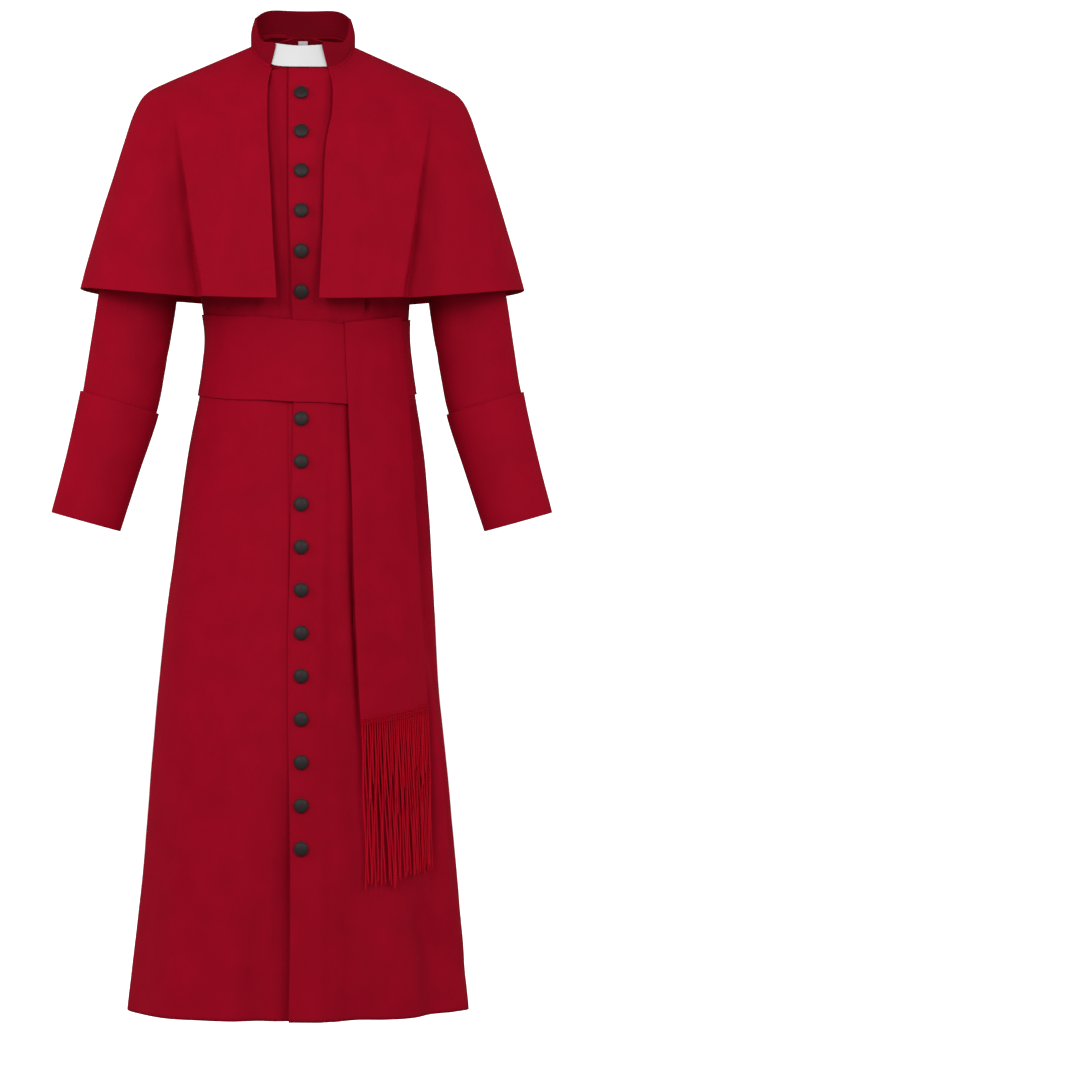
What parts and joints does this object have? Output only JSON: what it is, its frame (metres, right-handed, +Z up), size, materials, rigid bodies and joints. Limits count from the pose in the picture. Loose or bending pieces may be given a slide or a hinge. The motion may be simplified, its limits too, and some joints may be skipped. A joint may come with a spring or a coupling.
{
  "type": "cassock",
  "caption": "Full-length red cassock, filled out and hollow, with a buttoned front, standing collar, shoulder cape, turned-back cuffs and a fringed sash.",
  "frame": {"origin": "the middle of the neck, level with the top of the shoulders, where the wearer holds the garment up", "axes": "+Z up, the front of the garment faces -Y, +X is the wearer's left"},
  "size_m": [0.7372, 0.4034, 1.4862],
  "materials": {
    "cassock_cloth": "smooth matte woven polyester, deep red",
    "fringe_cord": "twisted rayon cord, deep red with a soft sheen",
    "collar_white": "smooth white, satin",
    "button_cloth": "domed, dark charcoal, satin"
  },
  "bodies": {
    "root": {"front_left": "cassock_cloth", "front_right": "cassock_cloth", "back": "cassock_cloth", "sleeve_left": "cassock_cloth", "sleeve_right": "cassock_cloth", "cuff_left": "cassock_cloth", "cuff_right": "cassock_cloth", "cape_front_left": "cassock_cloth", "cape_front_right": "cassock_cloth", "cape_back": "cassock_cloth", "collar": "cassock_cloth", "sash": "cassock_cloth", "sash_tail": "cassock_cloth", "collar_tab": "collar_white", "neck_label": "collar_white", "fringe_front": "fringe_cord", "fringe_back": "fringe_cord", "button_01": "button_cloth", "button_02": "button_cloth", "button_03": "button_cloth", "button_04": "button_cloth", "button_05": "button_cloth", "button_06": "button_cloth", "button_07": "button_cloth", "button_08": "button_cloth", "button_09": "button_cloth", "button_10": "button_cloth", "button_11": "button_cloth", "button_12": "button_cloth", "button_13": "button_cloth", "button_14": "button_cloth", "button_15": "button_cloth", "button_16": "button_cloth", "button_17": "button_cloth"}
  },
  "joints": []
}
